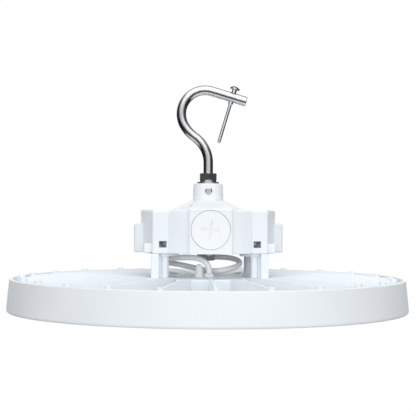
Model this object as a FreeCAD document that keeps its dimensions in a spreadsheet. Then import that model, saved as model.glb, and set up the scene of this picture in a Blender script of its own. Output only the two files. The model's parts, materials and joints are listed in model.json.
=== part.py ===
import FreeCAD, Part
import Sketcher
import math
import os
import re

# A round high bay light that hangs from a steel hook. Millimetres, +Z up. The origin lies on the
# lamp's axis, in the plane of the rim's lower edge, and the front of the driver housing faces -Y.
# The lens, the LED board and the screws that hold them are built upwards from the rim; the legs
# stand on the heat sink, and the driver housing, its collar and the hook stack up from the legs.

doc = FreeCAD.newDocument("HighBayLight")
sheet = doc.addObject("Spreadsheet::Sheet", "Sizes")

SIZES = [
    # clearances
    ("fit_gap", 0.3, "between a loose piece and its seat"),
    ("thread_gap", 0.1, "radial gap between a screw and its tapped hole"),
    ("hole_gap", 0.25, "radial gap round a screw in a plain hole"),
    ("end_gap", 0.5, "between a screw's tip and the end of its hole"),
    ("skin", 0.6, "metal left over a blind hole"),
    ("bury", 1, "how far a form is sunk into the one that carries it"),
    ("shank_overrun", 1.5, "shank past the nut or wall that it is fixed in"),
    ("drill_reach", 60, "drilled hole that runs out into the open"),
    # heat sink casting
    ("rim_radius", 205, "outside of the rim at its foot"),
    ("rim_height", 33, "top of the rim above its foot"),
    ("rim_taper", 3.3, "how much the rim draws in towards its top"),
    ("rim_wall", 3.2, "rim wall at the lip"),
    ("rim_foot_round", 2.5, "rounding of the rim's lower edge"),
    ("rim_lip_round", 0.8, "rounding of the lip"),
    ("foot_width", 5, "width of the rim's lower edge"),
    ("cavity_radius", "=rim_radius - foot_width", "inside of the rim below the ledge"),
    ("ledge_width", 16, "ledge that the lens seats on"),
    ("ledge_height", 9, "underside of the ledge above the foot"),
    ("floor_under", 18, "underside of the dish floor"),
    ("floor_wall", 4, "thickness of the dish floor"),
    ("hub_radius", 37, "outside of the central hub"),
    ("hub_height", 36, "top of the hub above the foot"),
    ("hub_wall", 4, "wall of the hollow hub"),
    ("rib_count", 24, "radial ribs"),
    ("rib_wall", 2.6, "thickness of a rib"),
    ("rib_inner_height", 34, "top of a rib at the hub"),
    ("rib_outer_height", 32.5, "top of a rib at its outer end"),
    ("rib_crown_radius", 800, "radius of a rib's arched top"),
    ("rib_overrun", 4, "how far a rib runs past the boss centres"),
    ("boss_radius", 3.4, "screw boss on the dish"),
    ("boss_height", 35.4, "top of a screw boss above the foot"),
    ("pad_side", 24, "square pad under a leg"),
    ("pad_middle", 50.5, "middle of such a pad from the middle planes"),
    # lens and what holds it
    ("lens_margin", 10, "lens screws from the lens's edge"),
    ("lens_circle", "=cavity_radius - lens_margin", "radius of the circle of lens screws"),
    ("gasket_wall", 1.5, "thickness of the lens gasket"),
    ("lens_wall", 3, "thickness of the lens"),
    ("ring_wall", 1.5, "thickness of the retaining ring"),
    ("lens_screw_radius", 2, "M4 lens screw"),
    ("lens_screw_reach", 14, "length of a lens screw above the ring's lower face"),
    ("lens_head_radius", 3.6, "head of a lens screw"),
    ("lens_head_height", 2.2, "head of a lens screw"),
    # LED board
    ("board_margin", 24, "outside of the LED board from the rim's inside"),
    ("board_radius", "=cavity_radius - board_margin", "outside of the LED board"),
    ("board_bore", 35, "hole in the middle of the LED board"),
    ("board_wall", 1.6, "thickness of the LED board"),
    ("chip_side", 5, "side of an LED"),
    ("chip_height", 0.8, "height of an LED"),
    ("chip_ring_count", 4, "rings of LEDs"),
    ("chip_spacing", 13, "LEDs along a ring, about"),
    ("chip_margin", 14, "outer ring of LEDs from the board's edge"),
    ("chip_inner_circle", 78, "radius of the inner ring of LEDs"),
    ("chip_ring_pitch", "=(board_radius - chip_margin - chip_inner_circle) / (chip_ring_count - 1)",
     "distance from one ring of LEDs to the next"),
    ("board_screw_circle", "=chip_inner_circle + 1.5 * chip_ring_pitch",
     "radius of the circle of board screws, between two rings of LEDs"),
    ("board_screw_count", 8, "board screws"),
    ("board_screw_radius", 1.5, "M3 board screw"),
    ("board_head_radius", 2.8, "head of a board screw"),
    ("board_head_height", 1.8, "head of a board screw"),
    # legs
    ("leg_outer", 58, "outer face of a leg from the middle planes"),
    ("leg_rib_width", 8, "outer rib of a leg"),
    ("leg_rib_depth", 16, "outer rib of a leg, front to back"),
    ("leg_post_radius", 4, "inner half-round post of a leg"),
    ("leg_post_x", 44.5, "axis of the inner post, sideways"),
    ("leg_post_y", 48, "axis of the inner post, front to back"),
    ("leg_web", 4, "web between rib and post"),
    ("leg_edge_round", 1, "rounding of the leg's upright edges"),
    ("leg_height", 24, "leg from the pad to the housing"),
    ("head_wall", 3, "plate at the top of a leg"),
    ("head_half_width", 6.5, "half width of that plate"),
    ("head_reach", 71, "outer end of that plate along the diagonal"),
    ("tongue_radius", 5, "round tongue that enters the housing"),
    ("tongue_length", 17.5, "tongue above the leg's head"),
    ("tongue_diagonal", 52, "tongue axis from the lamp axis"),
    ("foot_screw_radius", 2, "M4 screw up into a leg"),
    ("foot_screw_reach", 22, "length of that screw in casting and leg"),
    ("foot_head_radius", 3.8, "head of that screw"),
    ("foot_head_height", 2.6, "head of that screw"),
    # driver housing casting
    ("shell_radius", 69, "outside of the round shell"),
    ("shell_height", 43.5, "shell from its lower edge to the shoulder"),
    ("shell_wall", 9, "shell wall, thick enough for the port thread"),
    ("recess_radius", 63.5, "recess for the base plate"),
    ("roof_wall", 4, "roof at the shoulder"),
    ("column_inner", 41, "inner face of a corner column from the middle planes"),
    ("column_outer", 57, "outer face of a corner column from the middle planes"),
    ("front_pad_half", 21.4, "half width of the flat pad at the front"),
    ("front_pad_reach", 70, "face of the flat pad from the axis"),
    ("front_pad_rise", 0.6, "pad above the shoulder"),
    ("roof_radius", 37.5, "where the sloping roof meets the shoulder"),
    ("roof_rise", 9.5, "rise of the roof from the shoulder to the collar"),
    ("collar_foot_radius", 16, "collar at the roof"),
    ("collar_radius", 14.95, "collar at its top"),
    ("collar_height", 17.2, "collar above the roof"),
    ("collar_round", 1.2, "rounding of the collar's top edge"),
    ("lug_reach", 75.7, "outer face of a side lug"),
    ("lug_half", 18, "half width of a side lug, front to back"),
    ("lug_height", 29.6, "height of a side lug"),
    ("lug_round", 3, "rounding of a side lug"),
    ("knob_reach", 65.5, "outer face of the small corner knob"),
    ("knob_depth", 11, "small corner knob, front to back"),
    ("knob_height", 10, "small corner knob"),
    ("notch_sill", 6, "height of the sill below the screw notch"),
    ("notch_height", 7.6, "height of the notch for a leg screw"),
    ("notch_diagonal", 63.7, "face of the notch from the lamp axis"),
    ("edge_round", 1.2, "rounding of the housing's upright edges"),
    ("socket_post_radius", 9, "post round a tongue's socket"),
    ("plate_post_radius", 4.5, "post for a base plate screw"),
    ("plate_screw_circle", 52, "radius of the circle of base plate screws"),
    ("plate_screw_radius", 2, "M4 base plate screw"),
    ("plate_screw_reach", 15, "length of a base plate screw above the plate's lower face"),
    ("plate_head_radius", 3.75, "head of a base plate screw"),
    ("plate_head_height", 2.2, "head of a base plate screw"),
    ("leg_screw_radius", 2, "M4 leg screw"),
    ("leg_screw_level", 69.8, "height of the leg screws above the rim's foot"),
    ("leg_head_radius", 3.3, "head of a leg screw"),
    ("leg_head_height", 3, "head of a leg screw"),
    # base plate
    ("plate_wall", 3, "thickness of the base plate"),
    ("plate_gasket_wall", 1.5, "thickness of the base plate gasket"),
    ("plate_gasket_width", 4.7, "width of the base plate gasket"),
    # port and plug
    ("port_level", 83.6, "centre of the port above the rim's foot"),
    ("port_bore", 15.2, "threaded bore of the port"),
    ("port_recess_depth", 3.5, "recess round the port"),
    ("plug_radius", 19, "head of the plug"),
    ("plug_gap", 0.4, "ring-shaped gap round the plug"),
    ("plug_stand_out", 0.3, "plug in front of the pad"),
    ("plug_shank_length", 7.5, "threaded shank of the plug"),
    ("seal_wall", 1, "thickness of the plug's seal"),
    ("seal_radius", 18.4, "outside of the plug's seal"),
    ("grip_length", 17, "arm of the cross-shaped grip slot"),
    ("grip_width", 2.2, "width of the grip slot"),
    ("grip_depth", 1.5, "depth of the grip slot"),
    ("grip_turn", 7, "turn of the grip slot in degrees"),
    # hook and its fasteners
    ("rod_radius", 5, "hook rod"),
    ("rod_end_round", 0.8, "rounding of the rod's free end"),
    ("hook_engagement", 24, "rod screwed into the collar"),
    ("shank_length", 21.4, "straight rod above the collar, to the first bend"),
    ("lower_bend_radius", 32, "first bend, on the rod's centre line"),
    ("lower_bend_turn", 53, "first bend, in degrees"),
    ("slope_length", 2.5, "short straight between the bends"),
    ("easing_bend_radius", 38.5, "start of the eye's bend"),
    ("easing_bend_turn", 21, "start of the eye's bend, in degrees"),
    ("eye_radius", 24.4, "bend of the eye, on the rod's centre line"),
    ("arm_drop", 16.5, "fall of the arm below level, in degrees"),
    ("arm_length", 37, "straight arm"),
    ("flat_washer_radius", 11.35, "flat washer"),
    ("flat_washer_wall", 1.5, "flat washer"),
    ("spring_washer_radius", 8.6, "spring washer"),
    ("spring_washer_wall", 2.2, "spring washer"),
    ("spring_washer_slit", 1.2, "slit of the spring washer"),
    ("nut_half_flats", 8.5, "half of the nut's width across flats"),
    ("nut_height", 6.9, "lock nut"),
    ("set_screw_level", 9.6, "set screw above the collar's foot"),
    ("set_screw_radius", 2, "set screw"),
    ("set_head_radius", 3.5, "head of the set screw"),
    ("set_head_height", 2.3, "head of the set screw"),
    ("spot_face", 1, "depth of the flat under the set screw's head"),
    ("safety_setback", 15, "safety screw from the end of the arm"),
    ("safety_neck_radius", 2.5, "threaded neck of the safety screw"),
    ("safety_pin_radius", 1.75, "pin of the safety screw"),
    ("safety_head_radius", 5, "head of the safety screw"),
    ("safety_head_height", 3, "head of the safety screw"),
    ("safety_stand_off", 3.5, "neck showing above the arm"),
    ("safety_reach", 49, "tip of the pin below the arm's centre line"),
    # driver, terminal block, glands, vent
    ("driver_length", 76, "driver can, side to side"),
    ("driver_width", 34, "driver can, front to back"),
    ("driver_height", 30, "driver can"),
    ("driver_offset", -10, "middle of the driver can, front to back"),
    ("driver_round", 3, "rounding of the driver can"),
    ("flange_length", 7.5, "mounting flange of the driver"),
    ("flange_width", 16, "mounting flange of the driver"),
    ("flange_wall", 2, "mounting flange of the driver"),
    ("small_screw_radius", 1.5, "M3 screw inside the housing"),
    ("small_head_radius", 2.75, "head of such a screw"),
    ("small_head_height", 1.8, "head of such a screw"),
    ("terminal_length", 34, "terminal block, side to side"),
    ("terminal_width", 12, "terminal block, front to back"),
    ("terminal_height", 14, "terminal block"),
    ("terminal_offset", 37, "middle of the terminal block, front to back"),
    ("wire_hole_pitch", 6.9, "wire holes of the terminal block"),
    ("terminal_lip", 4.5, "low end of the terminal block at each screw"),
    ("gland_x", -4, "upper gland from the axis, sideways"),
    ("gland_y", 22, "upper gland from the axis, front to back"),
    ("gland_shank_radius", 4, "threaded shank of the upper gland"),
    ("gland_body_radius", 6.5, "body of the upper gland"),
    ("gland_drop", 10, "body of the upper gland below the plate"),
    ("gland_nut_radius", 7, "nut of the upper gland"),
    ("gland_nut_height", 3, "nut of the upper gland"),
    ("nozzle_drop", 6.2, "cable outlet below the plate"),
    ("nozzle_reach", 12, "cable outlet from the gland's axis"),
    ("nozzle_root_radius", 4.4, "cable outlet at the gland"),
    ("entry_x", 0.5, "lower gland from the axis, sideways"),
    ("entry_y", -27, "lower gland from the axis, front to back"),
    ("entry_flange_radius", 5, "flange of the lower gland"),
    ("entry_flange_height", 2.4, "flange of the lower gland"),
    ("entry_height", 3.4, "top of the lower gland above the hub"),
    ("entry_shank_radius", 3.5, "shank of the lower gland"),
    ("vent_x", -9.8, "vent plug from the axis, sideways"),
    ("vent_flange_radius", 4.6, "flange of the vent plug"),
    ("vent_flange_height", 2.2, "flange of the vent plug"),
    ("vent_dome_radius", 3.75, "dome of the vent plug"),
    ("vent_height", 12.6, "top of the vent plug above the hub"),
    ("vent_shank_radius", 2, "shank of the vent plug"),
    ("cable_grip", 0.8, "wall of a gland's mouth round the cable"),
    ("cable_radius", 2.8, "light grey cable"),
]

for row, (name, value, note) in enumerate(SIZES, start=1):
    sheet.set(f"A{row}", note)
    sheet.set(f"B{row}", str(value))
    sheet.setAlias(f"B{row}", name)
doc.recompute()

NAMES = {name for name, value, note in SIZES}

# Heights of the stack, each worked out from the sizes below it.
PAD_TOP = "hub_height"
HOUSING_FOOT = "(hub_height + leg_height)"
SHOULDER = "(hub_height + leg_height + shell_height)"
COLLAR_FOOT = "(hub_height + leg_height + shell_height + roof_rise)"
COLLAR_TOP = "(hub_height + leg_height + shell_height + roof_rise + collar_height)"
PLATE_TOP = "(hub_height + leg_height + plate_wall)"
PLATE_LEDGE = "(hub_height + leg_height + plate_wall + plate_gasket_wall)"
CAVITY_TOP = "(hub_height + leg_height + shell_height - roof_wall)"
FLOOR_TOP = "(floor_under + floor_wall)"
LENS_TOP = "(ledge_height - gasket_wall)"
LENS_FOOT = "(ledge_height - gasket_wall - lens_wall)"
RING_FOOT = "(ledge_height - gasket_wall - lens_wall - ring_wall)"
TONGUE_SPOT = "tongue_diagonal / sqrt(2)"
WASHER_TOP = f"({COLLAR_TOP} + flat_washer_wall)"
NUT_FOOT = f"({COLLAR_TOP} + flat_washer_wall + spring_washer_wall)"


def bound(expression):
    """An expression with each size's name pointing into the sheet."""
    def cell(word):
        return "Sizes." + word.group() if word.group() in NAMES else word.group()
    return re.sub(r"[a-z][a-z_]+", cell, expression)


def size(expression):
    """The number that an expression of sizes gives."""
    return float(sheet.evalExpression(bound(expression)))


def bind(thing, **properties):
    for name, expression in properties.items():
        thing.setExpression(name, bound(expression))


def place(thing, x="0", y="0", z="0"):
    thing.setExpression(".Placement.Base.x", bound(x))
    thing.setExpression(".Placement.Base.y", bound(y))
    thing.setExpression(".Placement.Base.z", bound(z))


# ---------------------------------------------------------------- bodies, sketches and features

def new_body(label):
    body = doc.addObject("PartDesign::Body", label)
    body.Label = label
    return body


def origin_feature(body, role):
    return next(item for item in body.Origin.OriginFeatures if item.Role == role)


def new_sketch(body, role="XY_Plane", height="0"):
    sketch = body.newObject("Sketcher::SketchObject", body.Name + "_sketch")
    sketch.AttachmentSupport = [(origin_feature(body, role), "")]
    sketch.MapMode = "FlatFace"
    sketch.setExpression("AttachmentOffset.Base.z", bound(height))
    return sketch


def pin_point(sketch, edge, end, x, y):
    """Hold one point of a sketch at two distances from the sketch's origin."""
    for kind, expression in (("DistanceX", x), ("DistanceY", y)):
        number = sketch.addConstraint(Sketcher.Constraint(kind, -1, 1, edge, end, size(expression)))
        sketch.setExpression(f"Constraints[{number}]", bound(expression))


def outline(sketch, corners):
    """A closed outline of straight edges through the corners."""
    points = [FreeCAD.Vector(size(x), size(y), 0) for x, y in corners]
    first = sketch.GeometryCount
    count = len(points)
    for i in range(count):
        sketch.addGeometry(Part.LineSegment(points[i], points[(i + 1) % count]), False)
    for i in range(count):
        sketch.addConstraint(Sketcher.Constraint("Coincident", first + i, 2, first + (i + 1) % count, 1))
        pin_point(sketch, first + i, 1, *corners[i])


def rectangle(sketch, x_low, x_high, y_low, y_high):
    outline(sketch, [(x_low, y_low), (x_high, y_low), (x_high, y_high), (x_low, y_high)])


def circle(sketch, radius, x="0", y="0"):
    centre = FreeCAD.Vector(size(x), size(y), 0)
    edge = sketch.addGeometry(Part.Circle(centre, FreeCAD.Vector(0, 0, 1), size(radius)), False)
    pin_point(sketch, edge, 3, x, y)
    number = sketch.addConstraint(Sketcher.Constraint("Radius", edge, size(radius)))
    sketch.setExpression(f"Constraints[{number}]", bound(radius))


def in_each_corner(draw):
    """Draw something in all four quarters, given the signs of X and Y."""
    for side in ("1", "-1"):
        for face in ("1", "-1"):
            draw(side, face)


def pad(body, sketch, length, both_ways=False):
    feature = body.newObject("PartDesign::Pad", body.Name + "_pad")
    feature.Profile = sketch
    feature.Midplane = both_ways
    bind(feature, Length=length)
    return feature


def pocket(body, sketch, depth, upwards=True):
    """A cut from the sketch's plane; upwards means along the sketch's own normal."""
    feature = body.newObject("PartDesign::Pocket", body.Name + "_pocket")
    feature.Profile = sketch
    feature.Reversed = upwards
    bind(feature, Length=depth)
    return feature


def revolve(body, sketch, kind="Revolution"):
    feature = body.newObject("PartDesign::" + kind, body.Name + "_turned")
    feature.Profile = sketch
    feature.ReferenceAxis = (sketch, ["V_Axis"])
    feature.Angle = 360
    return feature


def around(body, features, count):
    pattern = body.newObject("PartDesign::PolarPattern", body.Name + "_pattern")
    pattern.Originals = features
    pattern.Axis = (origin_feature(body, "Z_Axis"), [""])
    pattern.Angle = 360
    bind(pattern, Occurrences=count)
    body.Tip = pattern
    return pattern


def drill(body, radius, length, x="0", y="0", z="0", turn=None):
    """A round hole that starts at x, y, z and runs up Z, or up Z turned by the rotation."""
    hole = body.newObject("PartDesign::SubtractiveCylinder", body.Name + "_hole")
    if turn is not None:
        hole.Placement = FreeCAD.Placement(FreeCAD.Vector(0, 0, 0), turn)
    bind(hole, Radius=radius, Height=length)
    place(hole, x, y, z)
    return hole


def round_edges(body, radius, chosen):
    """Round the edges of the body's tip for which chosen(edge) is true."""
    doc.recompute()
    tip = body.Tip
    names = [f"Edge{i}" for i, edge in enumerate(tip.Shape.Edges, start=1) if chosen(edge)]
    fillet = body.newObject("PartDesign::Fillet", body.Name + "_rounding")
    fillet.Base = (tip, names)
    bind(fillet, Radius=radius)
    return fillet


def is_ring(edge, radius, height):
    """True for a circle of that radius round the Z axis at that height."""
    return (isinstance(edge.Curve, Part.Circle) and abs(edge.Curve.Radius - size(radius)) < 0.01
            and abs(edge.Curve.Center.z - size(height)) < 0.01
            and math.hypot(edge.Curve.Center.x, edge.Curve.Center.y) < 0.01)


def is_upright(edge):
    box = edge.BoundBox
    return box.XLength < 1e-6 and box.YLength < 1e-6


# ---------------------------------------------------------------- groups of like screws

def turned_screw(head_radius, head_height, shank_radius, shank_length):
    """A screw along Z: a domed head above z = 0 and a plain shank below it."""
    edge_height = 0.45 * head_height
    crown = FreeCAD.Vector(0, 0, head_height)
    corner = FreeCAD.Vector(head_radius, 0, edge_height)
    bulge = FreeCAD.Vector(0.62 * head_radius, 0, edge_height + 0.72 * (head_height - edge_height))
    points = [corner, FreeCAD.Vector(head_radius, 0, 0), FreeCAD.Vector(shank_radius, 0, 0),
              FreeCAD.Vector(shank_radius, 0, -shank_length), FreeCAD.Vector(0, 0, -shank_length), crown]
    edges = [Part.makeLine(a, b) for a, b in zip(points[:-1], points[1:])]
    edges.append(Part.Arc(crown, bulge, corner).toShape())
    face = Part.Face(Part.Wire(edges))
    return face.revolve(FreeCAD.Vector(0, 0, 0), FreeCAD.Vector(0, 0, 1), 360)


def screw_group(label, screw, placements):
    """Like screws as one group of separate solids."""
    copies = []
    for placement in placements:
        copy = screw.copy()
        copy.Placement = placement
        copies.append(copy)
    group = doc.addObject("Part::Feature", label)
    group.Label = label
    group.Shape = Part.makeCompound(copies)
    return group


def ring_of_places(radius, count, height, head_down=True):
    """Placements on a circle round the axis, with the heads down or up."""
    tilt = FreeCAD.Rotation(FreeCAD.Vector(1, 0, 0), 180 if head_down else 0)
    places = []
    for i in range(int(count)):
        angle = math.radians(360 * i / count - 90)
        spot = FreeCAD.Vector(radius * math.cos(angle), radius * math.sin(angle), height)
        places.append(FreeCAD.Placement(spot, tilt))
    return places


# ---------------------------------------------------------------- heat sink

def make_heat_sink():
    body = new_body("heat_sink")
    section = new_sketch(body, "XZ_Plane")
    outline(section, [
        ("0", "hub_height - hub_wall"), ("hub_radius - hub_wall", "hub_height - hub_wall"),
        ("hub_radius - hub_wall", "floor_under"), ("cavity_radius - ledge_width", "floor_under"),
        ("cavity_radius - ledge_width", "ledge_height"), ("cavity_radius", "ledge_height"),
        ("cavity_radius", "0"), ("rim_radius", "0"), ("rim_radius - rim_taper", "rim_height"),
        ("rim_radius - rim_taper - rim_wall", "rim_height"),
        ("rim_radius - rim_taper - rim_wall", FLOOR_TOP), ("hub_radius", FLOOR_TOP),
        ("hub_radius", "hub_height"), ("0", "hub_height")])
    revolve(body, section)

    pads = new_sketch(body, height="floor_under")
    low = "(pad_middle - pad_side / 2)"
    high = "(pad_middle + pad_side / 2)"
    in_each_corner(lambda side, face: rectangle(
        pads, f"{side} * {low}", f"{side} * {high}", f"{face} * {low}", f"{face} * {high}"))
    pad(body, pads, f"{PAD_TOP} - floor_under")

    rib = new_sketch(body, "XZ_Plane")
    start = ("hub_radius - hub_wall / 2", "rib_inner_height")
    end = ("lens_circle + rib_overrun", "rib_outer_height")
    rib_outline(rib, start, end)
    ribs = pad(body, rib, "rib_wall", both_ways=True)
    boss = new_sketch(body, height="floor_under")
    circle(boss, "boss_radius", "lens_circle")
    bosses = pad(body, boss, "boss_height - floor_under")
    pilot = new_sketch(body, height="ledge_height")
    circle(pilot, "lens_screw_radius + thread_gap", "lens_circle")
    pilots = pocket(body, pilot, "lens_screw_reach")
    around(body, [ribs, bosses, pilots], "rib_count")

    seats = new_sketch(body, height=PAD_TOP)
    in_each_corner(lambda side, face: rectangle(
        seats, f"{side} * {low}", f"{side} * {high}", f"{face} * {low}", f"{face} * {high}"))
    pocket(body, seats, "hub_height")

    feet = new_sketch(body, height="floor_under")
    in_each_corner(lambda side, face: circle(
        feet, "foot_screw_radius + hole_gap", f"{side} * (leg_outer - leg_rib_width / 2)",
        f"{face} * (leg_outer - leg_rib_depth / 2)"))
    pocket(body, feet, "hub_height")

    entries = new_sketch(body, height="floor_under")
    circle(entries, "entry_shank_radius + fit_gap", "entry_x", "entry_y")
    circle(entries, "vent_shank_radius + fit_gap", "vent_x", "entry_y")
    pocket(body, entries, "hub_height")

    board_hole = new_sketch(body, height="floor_under")
    circle(board_hole, "board_screw_radius + thread_gap", "0", "-board_screw_circle")
    board_holes = pocket(body, board_hole, "floor_wall - skin")
    around(body, [board_holes], "board_screw_count")

    round_edges(body, "rim_foot_round", lambda edge: is_ring(edge, "rim_radius", "0"))
    round_edges(body, "rim_lip_round", lambda edge: is_ring(edge, "rim_radius - rim_taper", "rim_height"))
    return body


def rib_outline(sketch, start, end):
    """The side view of one rib: a flat foot in the floor and an arched top."""
    foot = f"{FLOOR_TOP} - floor_wall / 2"
    corners = [start, (start[0], foot), (end[0], foot), end]
    points = [FreeCAD.Vector(size(x), size(y), 0) for x, y in corners]
    for a, b in zip(points[:-1], points[1:]):
        sketch.addGeometry(Part.LineSegment(a, b), False)
    span = points[0] - points[3]
    radius = size("rib_crown_radius")
    rise = radius - math.sqrt(radius ** 2 - (span.Length / 2) ** 2)
    crown = (points[0] + points[3]) / 2 + FreeCAD.Vector(0, rise, 0)
    top = sketch.addGeometry(Part.Arc(points[3], crown, points[0]), False)
    first = end_names(sketch.Geometry[top], points[3])
    last = 3 - first
    for i in range(2):
        sketch.addConstraint(Sketcher.Constraint("Coincident", i, 2, i + 1, 1))
    sketch.addConstraint(Sketcher.Constraint("Coincident", 2, 2, 3, first))
    sketch.addConstraint(Sketcher.Constraint("Coincident", 3, last, 0, 1))
    for i in range(3):
        pin_point(sketch, i, 1, *corners[i])
    pin_point(sketch, 2, 2, *corners[3])
    number = sketch.addConstraint(Sketcher.Constraint("Radius", 3, radius))
    sketch.setExpression(f"Constraints[{number}]", bound("rib_crown_radius"))


# ---------------------------------------------------------------- lens stack and LED board

def ring_with_holes(label, outer, inner, foot, wall, hole_radius):
    """A flat ring or disc with one hole for each lens screw."""
    body = new_body(label)
    face = new_sketch(body, height=foot)
    circle(face, outer)
    if inner is not None:
        circle(face, inner)
    pad(body, face, wall)
    hole = new_sketch(body, height=foot)
    circle(hole, hole_radius, "lens_circle")
    cut = pocket(body, hole, wall)
    around(body, [cut], "rib_count")
    return body


def make_lens_stack():
    edge = "cavity_radius - fit_gap"
    inner = "cavity_radius - ledge_width"
    hole = "lens_screw_radius + hole_gap"
    ring_with_holes("lens_gasket", edge, inner, LENS_TOP, "gasket_wall", hole)
    ring_with_holes("lens_diffuser", edge, None, LENS_FOOT, "lens_wall", hole)
    ring_with_holes("lens_ring", edge, inner, RING_FOOT, "ring_wall", hole)
    screw = turned_screw(size("lens_head_radius"), size("lens_head_height"),
                         size("lens_screw_radius"), size("lens_screw_reach"))
    places = ring_of_places(size("lens_circle"), size("rib_count"), size(RING_FOOT))
    screw_group("lens_screws", screw, places)


def make_led_board():
    body = new_body("led_board")
    face = new_sketch(body, height="floor_under - board_wall")
    circle(face, "board_radius")
    circle(face, "board_bore")
    in_each_corner(lambda side, face_sign: circle(
        face, "foot_head_radius + fit_gap", f"{side} * (leg_outer - leg_rib_width / 2)",
        f"{face_sign} * (leg_outer - leg_rib_depth / 2)"))
    pad(body, face, "board_wall")
    hole = new_sketch(body, height="floor_under - board_wall")
    circle(hole, "board_screw_radius + hole_gap", "0", "-board_screw_circle")
    around(body, [pocket(body, hole, "board_wall")], "board_screw_count")
    screw = turned_screw(size("board_head_radius"), size("board_head_height"), size("board_screw_radius"),
                         size("board_wall + floor_wall - skin - end_gap"))
    places = ring_of_places(size("board_screw_circle"), size("board_screw_count"),
                            size("floor_under - board_wall"))
    screw_group("led_board_screws", screw, places)


def make_led_chips():
    """Rings of square LEDs under the board, as one group of separate solids."""
    side = size("chip_side")
    height = size("chip_height")
    top = size("floor_under - board_wall")
    chips = []
    for ring in range(round(size("chip_ring_count"))):
        radius = size("chip_inner_circle") + ring * size("chip_ring_pitch")
        count = 4 * round(radius / size("chip_spacing"))
        for i in range(count):
            corner = FreeCAD.Vector(radius - side / 2, -side / 2, top - height)
            chip = Part.makeBox(side, side, height, corner)
            chip.rotate(FreeCAD.Vector(0, 0, 0), FreeCAD.Vector(0, 0, 1), 360 * (i + 0.5) / count)
            chips.append(chip)
    group = doc.addObject("Part::Feature", "led_chips")
    group.Label = "led_chips"
    group.Shape = Part.makeCompound(chips)
    return group


# ---------------------------------------------------------------- legs

def make_legs():
    """One cast leg at the rear right, and its three mirror images."""
    body = new_body("leg_rear_right")
    rib = new_sketch(body, height=PAD_TOP)
    rectangle(rib, "leg_outer - leg_rib_width", "leg_outer", "leg_outer - leg_rib_depth", "leg_outer")
    pad(body, rib, "leg_height")
    round_edges(body, "leg_edge_round", is_upright)
    web = new_sketch(body, height=PAD_TOP)
    rectangle(web, "leg_post_x", "leg_outer - leg_rib_width / 2",
              "leg_post_y - leg_web / 2", "leg_post_y + leg_web / 2")
    pad(body, web, "leg_height")
    post = new_sketch(body, height=PAD_TOP)
    circle(post, "leg_post_radius", "leg_post_x", "leg_post_y")
    pad(body, post, "leg_height")
    head = new_sketch(body, height=f"{HOUSING_FOOT} - head_wall")
    inner = "tongue_diagonal"
    outer = "head_reach"
    half = "head_half_width"
    outline(head, [(f"({inner} - {half}) / sqrt(2)", f"({inner} + {half}) / sqrt(2)"),
                   (f"({inner} + {half}) / sqrt(2)", f"({inner} - {half}) / sqrt(2)"),
                   (f"({outer} + {half}) / sqrt(2)", f"({outer} - {half}) / sqrt(2)"),
                   (f"({outer} - {half}) / sqrt(2)", f"({outer} + {half}) / sqrt(2)")])
    pad(body, head, "head_wall")
    head_end = new_sketch(body, height=f"{HOUSING_FOOT} - head_wall")
    circle(head_end, half, TONGUE_SPOT, TONGUE_SPOT)
    pad(body, head_end, "head_wall")
    tongue = new_sketch(body, height=f"{HOUSING_FOOT} - head_wall / 2")
    circle(tongue, "tongue_radius", TONGUE_SPOT, TONGUE_SPOT)
    pad(body, tongue, "tongue_length + head_wall / 2")
    drill(body, "foot_screw_radius + thread_gap", "foot_screw_reach", "leg_outer - leg_rib_width / 2",
          "leg_outer - leg_rib_depth / 2", PAD_TOP)
    outwards = FreeCAD.Rotation(FreeCAD.Vector(0, 0, 1), FreeCAD.Vector(1, 1, 0))
    start = "(tongue_diagonal - tongue_radius * 1.5) / sqrt(2)"
    drill(body, "leg_screw_radius + thread_gap", "tongue_radius * 3", start, start,
          "leg_screw_level", outwards)

    mirrored("leg_rear_left", body, FreeCAD.Vector(1, 0, 0))
    front = mirrored("leg_front_right", body, FreeCAD.Vector(0, 1, 0))
    mirrored("leg_front_left", front, FreeCAD.Vector(1, 0, 0))

    screw = turned_screw(size("foot_head_radius"), size("foot_head_height"), size("foot_screw_radius"),
                         size("hub_height - floor_under + foot_screw_reach - end_gap"))
    places = []
    for side in (-1, 1):
        for face in (-1, 1):
            spot = FreeCAD.Vector(side * size("leg_outer - leg_rib_width / 2"),
                                  face * size("leg_outer - leg_rib_depth / 2"), size("floor_under"))
            places.append(FreeCAD.Placement(spot, FreeCAD.Rotation(FreeCAD.Vector(1, 0, 0), 180)))
    screw_group("leg_foot_screws", screw, places)

    screw = turned_screw(size("leg_head_radius"), size("leg_head_height"), size("leg_screw_radius"),
                         size("notch_diagonal - tongue_diagonal + tongue_radius - end_gap"))
    places = []
    for angle in (45, 135, 225, 315):
        way = FreeCAD.Vector(math.cos(math.radians(angle)), math.sin(math.radians(angle)), 0)
        spot = way * size("notch_diagonal") + FreeCAD.Vector(0, 0, size("leg_screw_level"))
        places.append(FreeCAD.Placement(spot, FreeCAD.Rotation(FreeCAD.Vector(0, 0, 1), way)))
    screw_group("leg_screws", screw, places)


def mirrored(label, source, normal):
    copy = doc.addObject("Part::Mirroring", label)
    copy.Label = label
    copy.Source = source
    copy.Normal = normal
    return copy


# ---------------------------------------------------------------- driver housing

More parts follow.
